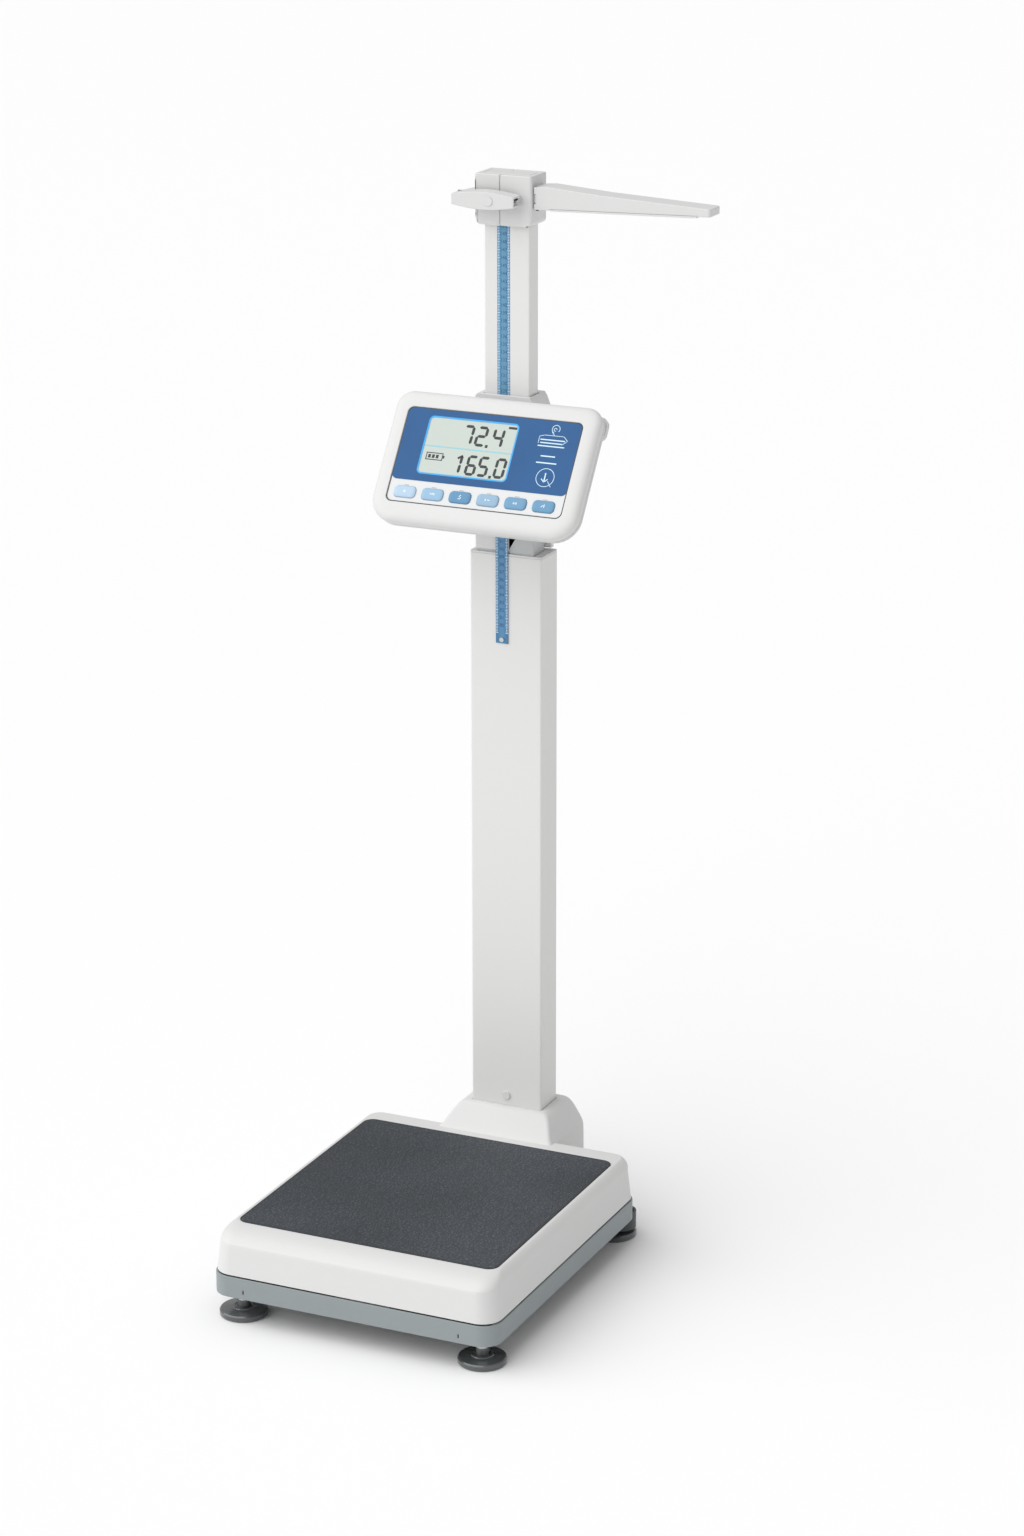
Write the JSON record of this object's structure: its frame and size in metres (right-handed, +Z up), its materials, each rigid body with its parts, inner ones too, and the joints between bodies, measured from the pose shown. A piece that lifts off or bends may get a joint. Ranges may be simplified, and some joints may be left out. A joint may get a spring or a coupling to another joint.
{
  "type": "physician column scale",
  "caption": "Digital physician column scale with a weighing platform, tilting display head and telescopic height rod with a folding measuring arm.",
  "frame": {"origin": "middle of the footprint, on the floor", "axes": "+Z up, -Y to the front where the user steps on, +X to the measuring arm's side"},
  "size_m": [0.472, 0.533, 1.386],
  "materials": {
    "white_plastic": "smooth satin white moulding",
    "shell_plastic": "satin off-white moulding",
    "frame_grey": "satin blue-grey powder coat",
    "dark_steel": "matt dark grey coat",
    "mat_rubber": "charcoal, finely embossed",
    "foot_rubber": "black moulded rubber, slight sheen",
    "bright_steel": "zinc-plated",
    "chrome_wire": "polished",
    "cell_aluminium": "machined",
    "white_aluminium": "white powder coat on an extrusion",
    "grey_plastic": "satin mid grey",
    "pin_steel": "blackened steel",
    "scale_blue": "blue printed measuring tape",
    "panel_blue": "blue glossy film",
    "membrane_white": "smooth white film",
    "lcd_glass": "clear display glass",
    "lcd_grey": "grey-green display",
    "board_green": "circuit board",
    "button_blue_1": "light blue key",
    "button_blue_2": "light blue key",
    "button_blue_3": "light blue key",
    "button_blue_4": "light blue key",
    "button_blue_5": "light blue key",
    "button_blue_6": "light blue key"
  },
  "bodies": {
    "base": {"frame_tray": "frame_grey", "frame_rails": "dark_steel", "foot_nuts": "bright_steel", "load_cell": "cell_aluminium", "cell_bolts": "bright_steel", "rear_beam": "dark_steel", "column_seat": "dark_steel", "column": "white_aluminium", "column_screw": "white_plastic", "column_cap": "white_plastic", "guide_block": "grey_plastic", "head_sleeve": "white_plastic", "ruler_lower": "scale_blue", "ruler_screw": "bright_steel", "tilt_bracket": "white_plastic", "tilt_pin": "bright_steel"},
    "platform": {"cover": "white_plastic", "load_plate": "bright_steel", "mat": "mat_rubber"},
    "mast": {"mast": "white_aluminium", "mast_cap": "white_plastic", "mast_glider": "grey_plastic", "ruler_upper": "scale_blue"},
    "carriage": {"carriage_left": "white_plastic", "carriage_right": "white_plastic", "carriage_screws": "bright_steel", "brake_pad": "foot_rubber", "arm_pin": "pin_steel", "lever_pin": "bright_steel", "lever_spring": "chrome_wire"},
    "lever": {"brake_lever": "white_plastic", "lever_badge": "white_plastic"},
    "arm": {"arm": "white_plastic", "arm_sole": "white_plastic"},
    "head": {"bezel": "white_plastic", "rear_shell": "shell_plastic", "panel_plate": "membrane_white", "panel_blue": "panel_blue", "lcd_window": "lcd_glass", "lcd_module": "lcd_grey", "circuit_board": "board_green", "battery_door": "shell_plastic", "shell_screws": "bright_steel"},
    "foot_fl": {"foot_pad_fl": "foot_rubber", "foot_stem_fl": "bright_steel"},
    "foot_fr": {"foot_pad_fr": "foot_rubber", "foot_stem_fr": "bright_steel"},
    "foot_rl": {"foot_pad_rl": "foot_rubber", "foot_stem_rl": "bright_steel"},
    "foot_rr": {"foot_pad_rr": "foot_rubber", "foot_stem_rr": "bright_steel"},
    "key_1": {"button_1": "button_blue_1"},
    "key_2": {"button_2": "button_blue_2"},
    "key_3": {"button_3": "button_blue_3"},
    "key_4": {"button_4": "button_blue_4"},
    "key_5": {"button_5": "button_blue_5"},
    "key_6": {"button_6": "button_blue_6"}
  },
  "joints": [
    {"name": "platform_load", "type": "slide", "parent": "base", "child": "platform", "axis": [0, 0, 1], "range_m": [-0.001, 0], "stiffness_N_per_m": 200000, "springref_m": 0.0003},
    {"name": "mast_slide", "type": "slide", "parent": "base", "child": "mast", "axis": [0, 0, 1], "range_m": [0, 0.605]},
    {"name": "carriage_slide", "type": "slide", "parent": "mast", "child": "carriage", "axis": [0, 0, 1], "range_m": [-0.2, 0]},
    {"name": "lever_squeeze", "type": "hinge", "parent": "carriage", "child": "lever", "pos_m": [-0.084, 0.2255, 1.357], "axis": [0, 0, 1], "range_deg": [0, 3.5], "stiffness_Nm_per_rad": 3, "springref_deg": -2.86},
    {"name": "arm_swing", "type": "hinge", "parent": "carriage", "child": "arm", "pos_m": [0.0034, 0.1944, 1.358], "axis": [0, 0, 1], "range_deg": [-90, 0]},
    {"name": "head_tilt", "type": "hinge", "parent": "base", "child": "head", "pos_m": [-0.033, 0.16949, 1.01185], "axis": [1, 0, 0], "range_deg": [0, 20]},
    {"name": "foot_fl_screw", "type": "slide", "parent": "base", "child": "foot_fl", "axis": [0, 0, 1], "range_m": [-0.01, 0]},
    {"name": "foot_fr_screw", "type": "slide", "parent": "base", "child": "foot_fr", "axis": [0, 0, 1], "range_m": [-0.01, 0]},
    {"name": "foot_rl_screw", "type": "slide", "parent": "base", "child": "foot_rl", "axis": [0, 0, 1], "range_m": [-0.01, 0]},
    {"name": "foot_rr_screw", "type": "slide", "parent": "base", "child": "foot_rr", "axis": [0, 0, 1], "range_m": [-0.01, 0]},
    {"name": "key_1_press", "type": "slide", "parent": "head", "child": "key_1", "axis": [0, 0.8251, -0.565], "range_m": [0, 0.0015], "stiffness_N_per_m": 800, "springref_m": -0.0006},
    {"name": "key_2_press", "type": "slide", "parent": "head", "child": "key_2", "axis": [0, 0.8251, -0.565], "range_m": [0, 0.0015], "stiffness_N_per_m": 800, "springref_m": -0.0006},
    {"name": "key_3_press", "type": "slide", "parent": "head", "child": "key_3", "axis": [0, 0.8251, -0.565], "range_m": [0, 0.0015], "stiffness_N_per_m": 800, "springref_m": -0.0006},
    {"name": "key_4_press", "type": "slide", "parent": "head", "child": "key_4", "axis": [0, 0.8251, -0.565], "range_m": [0, 0.0015], "stiffness_N_per_m": 800, "springref_m": -0.0006},
    {"name": "key_5_press", "type": "slide", "parent": "head", "child": "key_5", "axis": [0, 0.8251, -0.565], "range_m": [0, 0.0015], "stiffness_N_per_m": 800, "springref_m": -0.0006},
    {"name": "key_6_press", "type": "slide", "parent": "head", "child": "key_6", "axis": [0, 0.8251, -0.565], "range_m": [0, 0.0015], "stiffness_N_per_m": 800, "springref_m": -0.0006}
  ]
}
